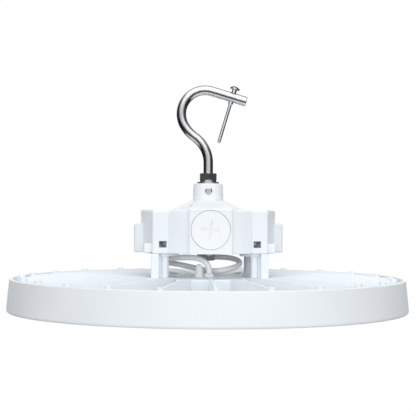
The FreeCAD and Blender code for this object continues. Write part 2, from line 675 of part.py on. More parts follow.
def make_driver_housing():
    body = new_body("driver_housing")
    shell = new_sketch(body, height=HOUSING_FOOT)
    circle(shell, "shell_radius")
    pad(body, shell, "shell_height")
    columns = new_sketch(body, height=HOUSING_FOOT)
    in_each_corner(lambda side, face: rectangle(
        columns, f"{side} * column_inner", f"{side} * column_outer",
        f"{face} * column_inner", f"{face} * column_outer"))
    pad(body, columns, "shell_height")
    lugs = new_sketch(body, height=HOUSING_FOOT)
    for side in ("1", "-1"):
        rectangle(lugs, f"{side} * (shell_radius - shell_wall)", f"{side} * lug_reach",
                  "-lug_half", "lug_half")
    pad(body, lugs, "lug_height")
    round_edges(body, "lug_round", lambda edge: is_lug_edge(edge))
    knobs = new_sketch(body, height=HOUSING_FOOT)
    in_each_corner(lambda side, face: rectangle(
        knobs, f"{side} * (column_outer - bury)", f"{side} * knob_reach",
        f"{face} * column_inner", f"{face} * (column_inner + knob_depth)"))
    pad(body, knobs, "knob_height")

    wedge = body.newObject("PartDesign::AdditiveWedge", "housing_front_pad")
    bind(wedge, Xmin="-front_pad_half", Xmax="front_pad_half",
         Ymin="-front_pad_reach", Ymax="-collar_foot_radius + 2 * bury",
         Zmin=HOUSING_FOOT, Zmax=f"{SHOULDER} + front_pad_rise",
         X2min="-collar_radius + bury", X2max="collar_radius - bury",
         Z2min=HOUSING_FOOT, Z2max=COLLAR_FOOT)
    around(body, [wedge], "2")

    top = new_sketch(body, "XZ_Plane")
    outline(top, [("0", f"{SHOULDER} - bury"), ("roof_radius", f"{SHOULDER} - bury"),
                  ("roof_radius", SHOULDER), ("collar_foot_radius", COLLAR_FOOT),
                  ("collar_radius", COLLAR_TOP), ("0", COLLAR_TOP)])
    revolve(body, top)

    hollow = new_sketch(body, "XZ_Plane")
    inside = "(shell_radius - shell_wall)"
    outline(hollow, [("0", f"{HOUSING_FOOT} - bury"), ("recess_radius", f"{HOUSING_FOOT} - bury"),
                     ("recess_radius", PLATE_LEDGE), (inside, PLATE_LEDGE), (inside, CAVITY_TOP),
                     ("0", CAVITY_TOP)])
    revolve(body, hollow, "Groove")

    posts = new_sketch(body, height=PLATE_LEDGE)
    in_each_corner(lambda side, face: circle(
        posts, "socket_post_radius", f"{side} * {TONGUE_SPOT}", f"{face} * {TONGUE_SPOT}"))
    pad(body, posts, f"{CAVITY_TOP} - {PLATE_LEDGE} + roof_wall / 2")
    sockets = new_sketch(body, height=PLATE_LEDGE)
    in_each_corner(lambda side, face: circle(
        sockets, "tongue_radius + fit_gap", f"{side} * {TONGUE_SPOT}", f"{face} * {TONGUE_SPOT}"))
    pocket(body, sockets, f"{HOUSING_FOOT} + tongue_length + fit_gap - {PLATE_LEDGE}")

    post = new_sketch(body, height=PLATE_LEDGE)
    circle(post, "plate_post_radius", "plate_screw_circle")
    post_pad = pad(body, post, f"{CAVITY_TOP} - {PLATE_LEDGE} + roof_wall / 2")
    bore = new_sketch(body, height=PLATE_LEDGE)
    circle(bore, "plate_screw_radius + thread_gap", "plate_screw_circle")
    bore_cut = pocket(body, bore, "plate_screw_reach")
    around(body, [post_pad, bore_cut], "4")

    notches = new_sketch(body, height=f"{HOUSING_FOOT} + notch_sill")
    reach = "(notch_diagonal * sqrt(2))"
    in_each_corner(lambda side, face: outline(notches, [
        (f"{side} * column_inner", f"{face} * (column_outer + bury)"),
        (f"{side} * column_inner", f"{face} * ({reach} - column_inner)"),
        (f"{side} * ({reach} - column_inner)", f"{face} * column_inner"),
        (f"{side} * column_outer", f"{face} * column_inner"),
        (f"{side} * column_outer", f"{face} * (column_outer + bury)")]))
    pocket(body, notches, "notch_height")
    outwards = FreeCAD.Rotation(FreeCAD.Vector(0, 0, 1), FreeCAD.Vector(1, 1, 0))
    screw_hole = drill(body, "leg_screw_radius + hole_gap", "drill_reach", TONGUE_SPOT, TONGUE_SPOT,
                       "leg_screw_level", outwards)
    around(body, [screw_hole], "4")

    forwards = FreeCAD.Rotation(FreeCAD.Vector(1, 0, 0), 90)
    drill(body, "port_bore", "front_pad_reach", "0", f"2 * bury - {inside}", "port_level", forwards)
    drill(body, "plug_radius + plug_gap", "drill_reach", "0", "-front_pad_reach + port_recess_depth",
          "port_level", forwards)
    drill(body, "rod_radius + fit_gap / 2", "drill_reach", "0", "0",
          f"{COLLAR_TOP} - hook_engagement - fit_gap")
    drill(body, "set_screw_radius + thread_gap", "drill_reach", "0", "0",
          f"{COLLAR_FOOT} + set_screw_level", forwards)
    drill(body, "set_head_radius + fit_gap", "drill_reach", "0", "-collar_foot_radius + spot_face",
          f"{COLLAR_FOOT} + set_screw_level", forwards)
    round_edges(body, "collar_round", lambda edge: is_ring(edge, "collar_radius", COLLAR_TOP))
    return body


def is_lug_edge(edge):
    """True for the outer edges of the two side lugs that are not at their foot."""
    box = edge.BoundBox
    at_face = min(abs(abs(box.XMin) - size("lug_reach")), abs(abs(box.XMax) - size("lug_reach"))) < 0.01
    return at_face and box.XLength < 0.01 and box.ZMax > size(f"{HOUSING_FOOT} + bury")


def make_base_plate():
    body = new_body("housing_base_plate")
    face = new_sketch(body, height=HOUSING_FOOT)
    circle(face, "recess_radius - fit_gap")
    pad(body, face, "plate_wall")
    holes = new_sketch(body, height=HOUSING_FOOT)
    in_each_corner(lambda side, front: circle(
        holes, "tongue_radius + fit_gap", f"{side} * {TONGUE_SPOT}", f"{front} * {TONGUE_SPOT}"))
    circle(holes, "gland_shank_radius + fit_gap", "gland_x", "gland_y")
    for side in ("1", "-1"):
        circle(holes, "small_screw_radius + thread_gap", f"{side} * {DRIVER_SCREW_X}", "driver_offset")
        circle(holes, "small_screw_radius + thread_gap", f"{side} * {TERMINAL_SCREW_X}", "terminal_offset")
    pocket(body, holes, "plate_wall")
    screw_hole = new_sketch(body, height=HOUSING_FOOT)
    circle(screw_hole, "plate_screw_radius + hole_gap", "plate_screw_circle")
    around(body, [pocket(body, screw_hole, "plate_wall")], "4")

    gasket = new_body("base_plate_gasket")
    ring = new_sketch(gasket, height=PLATE_TOP)
    circle(ring, "recess_radius - fit_gap")
    circle(ring, "recess_radius - fit_gap - plate_gasket_width")
    pad(gasket, ring, "plate_gasket_wall")

    screw = turned_screw(size("plate_head_radius"), size("plate_head_height"), size("plate_screw_radius"),
                         size("plate_screw_reach"))
    screw_group("base_plate_screws", screw,
                ring_of_places(size("plate_screw_circle"), 4, size(HOUSING_FOOT)))


# ---------------------------------------------------------------- port plug

def make_port_plug():
    """The plug is turned about its own Z axis, which then points out of the front pad."""
    seat = "-front_pad_reach + port_recess_depth"
    turn = FreeCAD.Rotation(FreeCAD.Vector(1, 0, 0), 90)
    twist = FreeCAD.Rotation(FreeCAD.Vector(0, 0, 1), -size("grip_turn"))
    plug = new_body("port_plug")
    plug.Placement = FreeCAD.Placement(FreeCAD.Vector(0, 0, 0), turn.multiply(twist))
    place(plug, "0", seat, "port_level")
    section = new_sketch(plug, "XZ_Plane")
    head_top = "port_recess_depth + plug_stand_out"
    outline(section, [("0", "seal_wall - plug_shank_length"),
                      ("port_bore - thread_gap", "seal_wall - plug_shank_length"),
                      ("port_bore - thread_gap", "seal_wall"), ("plug_radius", "seal_wall"),
                      ("plug_radius", head_top), ("0", head_top)])
    revolve(plug, section)
    slots = new_sketch(plug, height=head_top)
    arm = "grip_length / 2"
    half = "grip_width / 2"
    outline(slots, [(arm, f"-{half}"), (arm, half), (half, half), (half, arm), (f"-{half}", arm),
                    (f"-{half}", half), (f"-{arm}", half), (f"-{arm}", f"-{half}"),
                    (f"-{half}", f"-{half}"), (f"-{half}", f"-{arm}"), (half, f"-{arm}"),
                    (half, f"-{half}")])
    pocket(plug, slots, "grip_depth", upwards=False)

    seal = new_body("port_seal")
    seal.Placement = FreeCAD.Placement(FreeCAD.Vector(0, 0, 0), turn)
    place(seal, "0", seat, "port_level")
    ring = new_sketch(seal)
    circle(ring, "seal_radius")
    circle(ring, "port_bore + fit_gap")
    pad(seal, ring, "seal_wall")


# ---------------------------------------------------------------- hook and its fasteners

def walk_path(steps, start, heading):
    """Points of a path of straight runs and bends; a bend is (radius, turn), left turns positive."""
    pieces = []
    spot = FreeCAD.Vector(*start)
    for step in steps:
        way = FreeCAD.Vector(math.cos(heading), math.sin(heading), 0)
        if step[0] == "run":
            end = spot + way * step[1]
            pieces.append(Part.LineSegment(spot, end))
        else:
            radius, turn = step[1], math.radians(step[2])
            side = 1 if turn > 0 else -1
            centre = spot + FreeCAD.Vector(-way.y, way.x, 0) * radius * side
            arm = spot - centre
            middle = centre + turned(arm, turn / 2)
            end = centre + turned(arm, turn)
            ends = (spot, end) if turn > 0 else (end, spot)
            pieces.append(Part.Arc(ends[0], middle, ends[1]))
            heading += turn
        spot = end
    return pieces


def turned(vector, angle):
    return FreeCAD.Vector(vector.x * math.cos(angle) - vector.y * math.sin(angle),
                          vector.x * math.sin(angle) + vector.y * math.cos(angle), 0)


def end_names(piece, spot):
    """Which end of a sketch edge lies at a spot: 1 for its start, 2 for its end."""
    return 1 if (piece.StartPoint - spot).Length < (piece.EndPoint - spot).Length else 2


def make_hook():
    body = new_body("hook")
    path = new_sketch(body, "XZ_Plane")
    path.Label = "hook_path"
    foot = size(f"{COLLAR_TOP} - hook_engagement")
    eye_turn = size("90 + lower_bend_turn - easing_bend_turn + arm_drop")
    steps = [("run", size("hook_engagement + shank_length")),
             ("bend", size("lower_bend_radius"), size("lower_bend_turn")),
             ("run", size("slope_length")),
             ("bend", size("easing_bend_radius"), -size("easing_bend_turn")),
             ("bend", size("eye_radius"), -eye_turn),
             ("run", size("arm_length"))]
    pieces = walk_path(steps, (0, foot, 0), math.pi / 2)
    for piece in pieces:
        path.addGeometry(piece, False)
    pieces = path.Geometry
    spots = [FreeCAD.Vector(0, foot, 0)]
    for piece in pieces:
        other = piece.EndPoint if end_names(piece, spots[-1]) == 1 else piece.StartPoint
        spots.append(FreeCAD.Vector(other))
    for i in range(len(pieces) - 1):
        path.addConstraint(Sketcher.Constraint(
            "Tangent", i, end_names(pieces[i], spots[i + 1]), i + 1, end_names(pieces[i + 1], spots[i + 1])))
    pin_point(path, 0, 1, "0", f"{COLLAR_TOP} - hook_engagement")
    path.addConstraint(Sketcher.Constraint("Vertical", 0))
    for edge, name in ((0, "hook_engagement + shank_length"), (2, "slope_length"), (5, "arm_length")):
        number = path.addConstraint(Sketcher.Constraint("Distance", edge, size(name)))
        path.setExpression(f"Constraints[{number}]", bound(name))
    for edge, name in ((1, "lower_bend_radius"), (3, "easing_bend_radius"), (4, "eye_radius")):
        number = path.addConstraint(Sketcher.Constraint("Radius", edge, size(name)))
        path.setExpression(f"Constraints[{number}]", bound(name))
    turns = ((1, "lower_bend_turn"), (3, "easing_bend_turn"),
             (4, "90 + lower_bend_turn - easing_bend_turn + arm_drop"))
    for edge, name in turns:
        number = path.addConstraint(Sketcher.Constraint("Angle", edge, math.radians(size(name))))
        path.setExpression(f"Constraints[{number}]", f"({bound(name)}) * 1 deg")
    tip = end_names(pieces[5], spots[6])
    for kind, label in (("DistanceX", "tip_x"), ("DistanceY", "tip_z")):
        value = spots[6].x if kind == "DistanceX" else spots[6].y
        number = path.addConstraint(Sketcher.Constraint(kind, -1, 1, 5, tip, value))
        path.setDriving(number, False)
        path.renameConstraint(number, label)

    section = new_sketch(body, "XY_Plane", f"{COLLAR_TOP} - hook_engagement")
    circle(section, "rod_radius")
    rod = body.newObject("PartDesign::AdditivePipe", "hook_rod")
    rod.Profile = section
    rod.Spine = path
    doc.recompute()
    tip_spot = spots[6]
    round_edges(body, "rod_end_round", lambda edge: isinstance(edge.Curve, Part.Circle)
                and (edge.Curve.Center - FreeCAD.Vector(tip_spot.x, 0, tip_spot.y)).Length < 0.1)
    square_on = FreeCAD.Rotation(FreeCAD.Vector(0, 1, 0), size("arm_drop"))
    hole = drill(body, "safety_neck_radius + thread_gap", "rod_radius * 4", turn=square_on)
    place(hole, safety_spot("x", "rod_radius * 2"), "0", safety_spot("z", "rod_radius * 2"))
    return body


def safety_spot(axis, below):
    """Where the safety screw crosses the arm, moved down the screw's axis by a distance."""
    if axis == "x":
        return (f"<<hook_path>>.Constraints.tip_x / 1 mm - safety_setback * cos(arm_drop)"
                f" - ({below}) * sin(arm_drop)")
    return (f"<<hook_path>>.Constraints.tip_z / 1 mm + safety_setback * sin(arm_drop)"
            f" - ({below}) * cos(arm_drop)")


def make_hook_fasteners():
    washer = new_body("hook_flat_washer")
    ring = new_sketch(washer, height=COLLAR_TOP)
    circle(ring, "flat_washer_radius")
    circle(ring, "rod_radius + fit_gap")
    pad(washer, ring, "flat_washer_wall")

    spring = new_body("hook_spring_washer")
    ring = new_sketch(spring, height=WASHER_TOP)
    circle(ring, "spring_washer_radius")
    circle(ring, "rod_radius + fit_gap")
    pad(spring, ring, "spring_washer_wall")
    slit = new_sketch(spring, height=WASHER_TOP)
    rectangle(slit, "rod_radius / 2", "spring_washer_radius + bury",
              "-spring_washer_slit / 2", "spring_washer_slit / 2")
    pocket(spring, slit, "spring_washer_wall")

    nut = new_body("hook_lock_nut")
    prism = nut.newObject("PartDesign::AdditivePrism", "nut_blank")
    prism.Polygon = 6
    prism.Placement = FreeCAD.Placement(FreeCAD.Vector(0, 0, 0),
                                        FreeCAD.Rotation(FreeCAD.Vector(0, 0, 1), 30))
    bind(prism, Circumradius="nut_half_flats / cos(30)", Height="nut_height")
    place(prism, z=NUT_FOOT)
    chamfer = new_sketch(nut, "XZ_Plane")
    far = "nut_half_flats * 1.25"
    near = "nut_half_flats * 0.97"
    slope = "nut_half_flats * 0.15"
    outline(chamfer, [(near, f"{NUT_FOOT} + nut_height"), (far, f"{NUT_FOOT} + nut_height"),
                      (far, f"{NUT_FOOT} + nut_height - {slope}")])
    outline(chamfer, [(near, NUT_FOOT), (far, f"{NUT_FOOT} + {slope}"), (far, NUT_FOOT)])
    revolve(nut, chamfer, "Groove")
    drill(nut, "rod_radius + thread_gap", "nut_height + 2 * bury", z=f"{NUT_FOOT} - bury")

    make_set_screw()
    make_safety_screw()


def make_set_screw():
    body = new_body("collar_set_screw")
    body.Placement = FreeCAD.Placement(FreeCAD.Vector(0, 0, 0), FreeCAD.Rotation(FreeCAD.Vector(1, 0, 0), 90))
    place(body, "0", "-collar_foot_radius + spot_face", f"{COLLAR_FOOT} + set_screw_level")
    section = new_sketch(body, "XZ_Plane")
    tip = "-(collar_foot_radius - spot_face - rod_radius)"
    outline(section, [("0", tip), ("set_screw_radius", tip), ("set_screw_radius", "0"),
                      ("set_head_radius", "0"), ("set_head_radius", "set_head_height * 0.6"),
                      ("set_head_radius * 0.7", "set_head_height"),
                      ("0", "set_head_height")])
    revolve(body, section)
    socket = body.newObject("PartDesign::SubtractivePrism", "set_screw_socket")
    socket.Polygon = 6
    bind(socket, Circumradius="set_head_radius * 0.42", Height="set_head_height")
    place(socket, z="set_head_height * 0.45")
    return body


def make_safety_screw():
    body = new_body("hook_safety_screw")
    tilt = FreeCAD.Rotation(FreeCAD.Vector(0, 1, 0), size("arm_drop"))
    body.Placement = FreeCAD.Placement(FreeCAD.Vector(0, 0, 0), tilt)
    section = new_sketch(body, "XZ_Plane")
    shoulder = "rod_radius + safety_stand_off"
    outline(section, [
        ("0", "-safety_reach"), ("safety_pin_radius * 0.6", "-safety_reach"),
        ("safety_pin_radius", "-safety_reach + 1.2"),
        ("safety_pin_radius", "-rod_radius - 3"), ("safety_neck_radius", "-rod_radius - 2"),
        ("safety_neck_radius", shoulder), ("safety_head_radius", shoulder),
        ("safety_head_radius", f"{shoulder} + safety_head_height * 0.55"),
        ("safety_head_radius * 0.6", f"{shoulder} + safety_head_height"),
        ("0", f"{shoulder} + safety_head_height")])
    revolve(body, section)
    place(body, safety_spot("x", "0"), "0", safety_spot("z", "0"))
    return body


# ---------------------------------------------------------------- inside the housing

DRIVER_SCREW_X = "(driver_length / 2 + flange_length / 2)"
TERMINAL_SCREW_X = "(terminal_length / 2 - terminal_lip / 2)"


def make_driver():
    body = new_body("led_driver")
    can = new_sketch(body, height=PLATE_TOP)
    rectangle(can, "-driver_length / 2", "driver_length / 2",
              "driver_offset - driver_width / 2", "driver_offset + driver_width / 2")
    pad(body, can, "driver_height")
    round_edges(body, "driver_round", is_upright)
    flange = new_sketch(body, height=PLATE_TOP)
    reach = "(driver_length / 2 + flange_length)"
    rectangle(flange, f"-{reach}", reach,
              "driver_offset - flange_width / 2", "driver_offset + flange_width / 2")
    pad(body, flange, "flange_wall")
    holes = new_sketch(body, height=PLATE_TOP)
    for side in ("1", "-1"):
        circle(holes, "small_screw_radius + hole_gap", f"{side} * {DRIVER_SCREW_X}", "driver_offset")
    pocket(body, holes, "flange_wall")
    small_screws("driver_screws", DRIVER_SCREW_X, "driver_offset", "flange_wall")

    block = new_body("terminal_block")
    foot = new_sketch(block, height=PLATE_TOP)
    rectangle(foot, "-terminal_length / 2", "terminal_length / 2",
              "terminal_offset - terminal_width / 2", "terminal_offset + terminal_width / 2")
    pad(block, foot, "flange_wall")
    top = new_sketch(block, height=PLATE_TOP)
    half = "(terminal_length / 2 - terminal_lip - small_head_radius / 2)"
    rectangle(top, f"-{half}", half,
              "terminal_offset - terminal_width / 2", "terminal_offset + terminal_width / 2")
    pad(block, top, "terminal_height")
    holes = new_sketch(block, height=PLATE_TOP)
    for side in ("1", "-1"):
        circle(holes, "small_screw_radius + hole_gap", f"{side} * {TERMINAL_SCREW_X}", "terminal_offset")
    pocket(block, holes, "flange_wall")
    wire_holes = new_sketch(block, height=f"{PLATE_TOP} + terminal_height")
    for step in ("-1", "0", "1"):
        circle(wire_holes, "small_screw_radius", f"{step} * wire_hole_pitch", "terminal_offset")
    pocket(block, wire_holes, "terminal_height / 2", upwards=False)
    small_screws("terminal_screws", TERMINAL_SCREW_X, "terminal_offset", "flange_wall")


def small_screws(label, x, y, wall):
    """Two M3 screws through a flange into the base plate."""
    screw = turned_screw(size("small_head_radius"), size("small_head_height"), size("small_screw_radius"),
                         size(f"{wall} + plate_wall - end_gap"))
    level = size(f"{PLATE_TOP} + {wall}")
    spots = [FreeCAD.Vector(side * size(x), size(y), level) for side in (-1, 1)]
    screw_group(label, screw, [FreeCAD.Placement(spot, FreeCAD.Rotation()) for spot in spots])


# ---------------------------------------------------------------- cable, glands and vent

def make_glands():
    top = "plate_wall + gland_nut_height + shank_overrun"
    body = new_body("cable_gland_upper")
    section = new_sketch(body, "XZ_Plane")
    outline(section, [("0", "-gland_drop"), ("gland_body_radius * 0.7", "-gland_drop"),
                      ("gland_body_radius", "-gland_drop * 0.75"), ("gland_body_radius", "0"),
                      ("gland_shank_radius", "0"), ("gland_shank_radius", top), ("0", top)])
    revolve(body, section)
    nozzle = body.newObject("PartDesign::AdditiveCone", "gland_nozzle")
    nozzle.Placement = FreeCAD.Placement(FreeCAD.Vector(0, 0, 0),
                                         FreeCAD.Rotation(FreeCAD.Vector(0, 1, 0), 90))
    bind(nozzle, Radius1="nozzle_root_radius", Radius2="cable_radius + cable_grip", Height="nozzle_reach")
    place(nozzle, z="-nozzle_drop")
    place(body, "gland_x", "gland_y", HOUSING_FOOT)

    nut = new_body("cable_gland_nut")
    prism = nut.newObject("PartDesign::AdditivePrism", "gland_nut_blank")
    prism.Polygon = 6
    bind(prism, Circumradius="gland_nut_radius", Height="gland_nut_height")
    drill(nut, "gland_shank_radius + thread_gap", "gland_nut_height")
    place(nut, "gland_x", "gland_y", PLATE_TOP)

    entry = new_body("cable_gland_lower")
    section = new_sketch(entry, "XZ_Plane")
    outline(section, [("0", "-hub_wall - shank_overrun"), ("entry_shank_radius", "-hub_wall - shank_overrun"),
                      ("entry_shank_radius", "0"), ("entry_flange_radius", "0"),
                      ("entry_flange_radius", "entry_flange_height"),
                      ("cable_radius + cable_grip", "entry_height"),
                      ("0", "entry_height")])
    revolve(entry, section)
    place(entry, "entry_x", "entry_y", "hub_height")

    vent = new_body("vent_plug")
    section = new_sketch(vent, "XZ_Plane")
    outline(section, [("0", "-hub_wall - shank_overrun"), ("vent_shank_radius", "-hub_wall - shank_overrun"),
                      ("vent_shank_radius", "0"), ("vent_flange_radius", "0"),
                      ("vent_flange_radius", "vent_flange_height"),
                      ("vent_dome_radius", "vent_flange_height"),
                      ("vent_dome_radius", "vent_height"), ("0", "vent_height")])
    revolve(vent, section)
    place(vent, "vent_x", "entry_y", "hub_height")
    round_edges(vent, "vent_dome_radius * 0.92",
                lambda edge: is_ring(edge, "vent_dome_radius", "vent_height"))


# The cable's route, chosen by hand: out of the upper gland, round to the right, back across the hub,
# round to the left, and forwards over the vent plug down into the lower gland.
CABLE_ROUTE = [
    (8.0, 22.0, 53.8), (18.3, 22.0, 53.8), (28.6, 16.2, 52.4), (34.3, 4.5, 49.4),
    (31.0, -8.9, 45.8), (19.5, -16.7, 42.6), (5.4, -14.9, 40.6), (-5.6, -5.1, 40.6),
    (-14.9, 7.9, 40.4), (-27.5, 13.4, 40.4), (-40.4, 9.9, 42.9), (-47.9, -0.6, 47.1),
    (-46.6, -13.5, 51.3), (-37.0, -22.7, 54.2), (-22.6, -24.0, 55.3), (-11.0, -24.4, 54.6),
    (-3.2, -26.0, 50.8), (0.5, -27.0, 45.2), (0.5, -27.0, 39.4),
]


def make_cable():
    points = [FreeCAD.Vector(*point) for point in CABLE_ROUTE]
    edges = []
    spot = points[0]
    for before, corner, after in zip(points[:-2], points[1:-1], points[2:]):
        towards = corner - before
        away = after - corner
        shorter = min(towards.Length, away.Length)
        turn = towards.getAngle(away)
        reach = 0.45 * shorter
        radius = reach / math.tan(turn / 2)
        start = corner - towards.normalize() * reach
        end = corner + away.normalize() * reach
        middle = arc_middle(corner, start, end, radius)
        edges.append(Part.LineSegment(spot, start).toShape())
        edges.append(Part.Arc(start, middle, end).toShape())
        spot = end
        print(f"cable bend of {math.degrees(turn):5.1f} degrees, radius {radius:5.1f} mm")
    edges.append(Part.LineSegment(spot, points[-1]).toShape())
    path = Part.Wire(edges)
    radius = size("cable_radius")
    disc = Part.Wire(Part.Circle(points[0], points[1] - points[0], radius).toShape())
    tube = path.makePipeShell([disc], True, True)
    expected = math.pi * radius ** 2 * path.Length
    print(f"cable {path.Length:.1f} mm long, volume {tube.Volume:.0f}, section times length {expected:.0f}")
    cable = doc.addObject("Part::Feature", "led_lead")
    cable.Label = "led_lead"
    cable.Shape = tube
    return cable


def arc_middle(corner, start, end, radius):
    """The middle of the arc that is tangent to both runs at a corner."""
    chord = (start + end) / 2
    inwards = chord - corner
    half = (end - start).Length / 2
    sagitta = radius - math.sqrt(radius ** 2 - half ** 2)
    return chord - inwards.normalize() * sagitta


# ---------------------------------------------------------------- build, check and write

make_heat_sink()
make_lens_stack()
make_led_board()
make_led_chips()
make_legs()
make_driver_housing()
make_base_plate()
make_port_plug()
make_hook()
make_hook_fasteners()
make_driver()
make_glands()
make_cable()
doc.recompute()

NODES = [
    "heat_sink", "lens_gasket", "lens_diffuser", "lens_ring", "lens_screws", "led_board",
    "led_board_screws", "led_chips", "leg_front_left", "leg_front_right", "leg_rear_left",
    "leg_rear_right", "leg_foot_screws", "leg_screws", "driver_housing", "housing_base_plate",
    "base_plate_gasket", "base_plate_screws", "port_plug", "port_seal", "hook", "hook_flat_washer",
    "hook_spring_washer", "hook_lock_nut", "collar_set_screw", "hook_safety_screw", "led_driver",
    "driver_screws", "terminal_block", "terminal_screws", "cable_gland_upper", "cable_gland_nut",
    "cable_gland_lower", "vent_plug", "led_lead",
]

failed = [item.Label for item in doc.Objects if "Invalid" in item.State or "Error" in item.State]
if failed:
    raise RuntimeError("failed objects: " + ", ".join(failed))
nodes = [doc.getObjectsByLabel(label)[0] for label in NODES]
for node in nodes:
    if node.Shape.isNull() or not node.Shape.isValid() or not node.Shape.Solids:
        raise RuntimeError("bad shape: " + node.Label)

os.makedirs("parts", exist_ok=True)
for node in nodes:
    node.Shape.exportStep(f"parts/{node.Label}.step")
    box = node.Shape.BoundBox
    print(f"{node.Label:20s} {len(node.Shape.Solids):3d} solids {node.Shape.Volume / 1000:9.2f} cm3 "
          f"z {box.ZMin:7.2f} to {box.ZMax:7.2f}")
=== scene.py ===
"""High bay light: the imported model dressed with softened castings, a cable, finishes and a studio.

Lengths are in metres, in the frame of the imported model: Z runs up the lamp's axis, and the front
faces -Y.
"""

import json
import math

import bmesh
import bpy
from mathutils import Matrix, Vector


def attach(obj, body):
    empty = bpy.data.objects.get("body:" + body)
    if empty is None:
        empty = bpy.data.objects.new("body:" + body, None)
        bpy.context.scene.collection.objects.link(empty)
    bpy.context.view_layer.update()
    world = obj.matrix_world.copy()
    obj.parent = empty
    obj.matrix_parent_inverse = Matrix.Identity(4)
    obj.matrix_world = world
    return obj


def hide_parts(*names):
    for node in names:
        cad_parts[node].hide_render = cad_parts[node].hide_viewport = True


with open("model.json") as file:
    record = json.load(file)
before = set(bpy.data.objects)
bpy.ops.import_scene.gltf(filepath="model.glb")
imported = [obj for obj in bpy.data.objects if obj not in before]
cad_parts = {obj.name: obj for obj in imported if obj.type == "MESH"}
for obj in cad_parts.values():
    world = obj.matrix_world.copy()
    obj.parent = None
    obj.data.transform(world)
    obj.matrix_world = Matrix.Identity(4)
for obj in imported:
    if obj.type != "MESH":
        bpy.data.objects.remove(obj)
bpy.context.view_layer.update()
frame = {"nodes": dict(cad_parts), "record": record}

MM = 0.001


def put_in_scene(name, data):
    """A new object of the scene that holds the data."""
    thing = bpy.data.objects.new(name, data)
    bpy.context.scene.collection.objects.link(thing)
    return thing


# ---------------------------------------------------------------- camera

CAMERA_DISTANCE = 1265 * MM
CAMERA_HEIGHT = 105.1 * MM
CAMERA_YAW = math.radians(2.3)
CAMERA_ROLL = math.radians(0.3)
LENS_LENGTH = 106.3
SENSOR_WIDTH = 36


def aim_camera():
    """The camera stands a little left of the lamp's front, level with the housing's shoulder."""
    lens = bpy.data.cameras.new("camera")
    lens.lens = LENS_LENGTH
    lens.sensor_width = SENSOR_WIDTH
    camera = put_in_scene("camera", lens)
    camera.location = (-CAMERA_DISTANCE * math.sin(CAMERA_YAW),
                       -CAMERA_DISTANCE * math.cos(CAMERA_YAW), CAMERA_HEIGHT)
    camera.rotation_euler = (math.pi / 2, -CAMERA_ROLL, -CAMERA_YAW)
    bpy.context.scene.camera = camera


# ---------------------------------------------------------------- finishes

# A noise seldom leaves the middle of its range, so its two tones are reached at these values.
NOISE_LOW = 0.35
NOISE_HIGH = 0.65
LENS_SKIN = 4 * MM


def grey(level):
    return (level, level, level)


def shader_of(finish):
    return finish.node_tree.nodes["Principled BSDF"]


def new_finish(name, colour, roughness, metallic=0.0):
    finish = bpy.data.materials.new(name)
    finish.use_nodes = True
    shader = shader_of(finish)
    shader.inputs["Base Color"].default_value = (*colour, 1)
    shader.inputs["Roughness"].default_value = roughness
    shader.inputs["Metallic"].default_value = metallic
    return finish


def noise_on(finish, scale, detail=2.0, stretch=(1, 1, 1)):
    """A noise in the piece's own coordinates, `scale` cells to the metre.

    A stretch below 1 draws the cells out along that axis.
    """
    nodes = finish.node_tree.nodes
    links = finish.node_tree.links
    place = nodes.new("ShaderNodeTexCoord")
    mapping = nodes.new("ShaderNodeMapping")
    mapping.inputs["Scale"].default_value = stretch
    noise = nodes.new("ShaderNodeTexNoise")
    noise.inputs["Scale"].default_value = scale
    noise.inputs["Detail"].default_value = detail
    links.new(place.outputs["Object"], mapping.inputs["Vector"])
    links.new(mapping.outputs["Vector"], noise.inputs["Vector"])
    return noise


def vary_colour(finish, noise, dark, light, socket="Base Color"):
    """The noise runs from one colour to another on a socket of the shader."""
    links = finish.node_tree.links
    ramp = finish.node_tree.nodes.new("ShaderNodeValToRGB")
    first, last = ramp.color_ramp.elements
    first.position = NOISE_LOW
    last.position = NOISE_HIGH
    first.color = (*dark, 1)
    last.color = (*light, 1)
    links.new(noise.outputs["Fac"], ramp.inputs["Fac"])
    links.new(ramp.outputs["Color"], shader_of(finish).inputs[socket])


def vary_roughness(finish, noise, smoothest, roughest):
    vary_colour(finish, noise, grey(smoothest), grey(roughest), "Roughness")


def bump_on(finish, noise, height, strength):
    links = finish.node_tree.links
    bump = finish.node_tree.nodes.new("ShaderNodeBump")
    bump.inputs["Distance"].default_value = height
    bump.inputs["Strength"].default_value = strength
    links.new(noise.outputs["Fac"], bump.inputs["Height"])
    links.new(bump.outputs["Normal"], shader_of(finish).inputs["Normal"])


def powder_coat():
    """White powder coat: satin, with fine orange peel and hardly any change of tone."""
    finish = new_finish("white_powder_coat", (0.88, 0.89, 0.90), roughness=0.38)
    vary_colour(finish, noise_on(finish, scale=14, detail=4),
                (0.825, 0.865, 0.90), (0.855, 0.895, 0.93))
    vary_roughness(finish, noise_on(finish, scale=60, detail=3), 0.34, 0.44)
    bump_on(finish, noise_on(finish, scale=1400), height=0.06 * MM, strength=0.25)
    return finish


def polished_steel():
    """Polished stainless rod with faint lines along it."""
    finish = new_finish("polished_steel", (0.62, 0.62, 0.61), roughness=0.16, metallic=1.0)
    vary_colour(finish, noise_on(finish, scale=260, detail=3, stretch=(1, 1, 0.12)),
                (0.58, 0.59, 0.60), (0.72, 0.73, 0.735))
    vary_roughness(finish, noise_on(finish, scale=420, stretch=(1, 1, 0.2)), 0.10, 0.24)
    return finish


def zinc_steel():
    """Zinc plating on screws and washers, a little cloudy."""
    finish = new_finish("zinc_plated_steel", (0.62, 0.64, 0.66), roughness=0.28, metallic=1.0)
    vary_colour(finish, noise_on(finish, scale=500, detail=3),
                (0.54, 0.56, 0.59), (0.70, 0.71, 0.72))
    vary_roughness(finish, noise_on(finish, scale=900), 0.22, 0.38)
    return finish


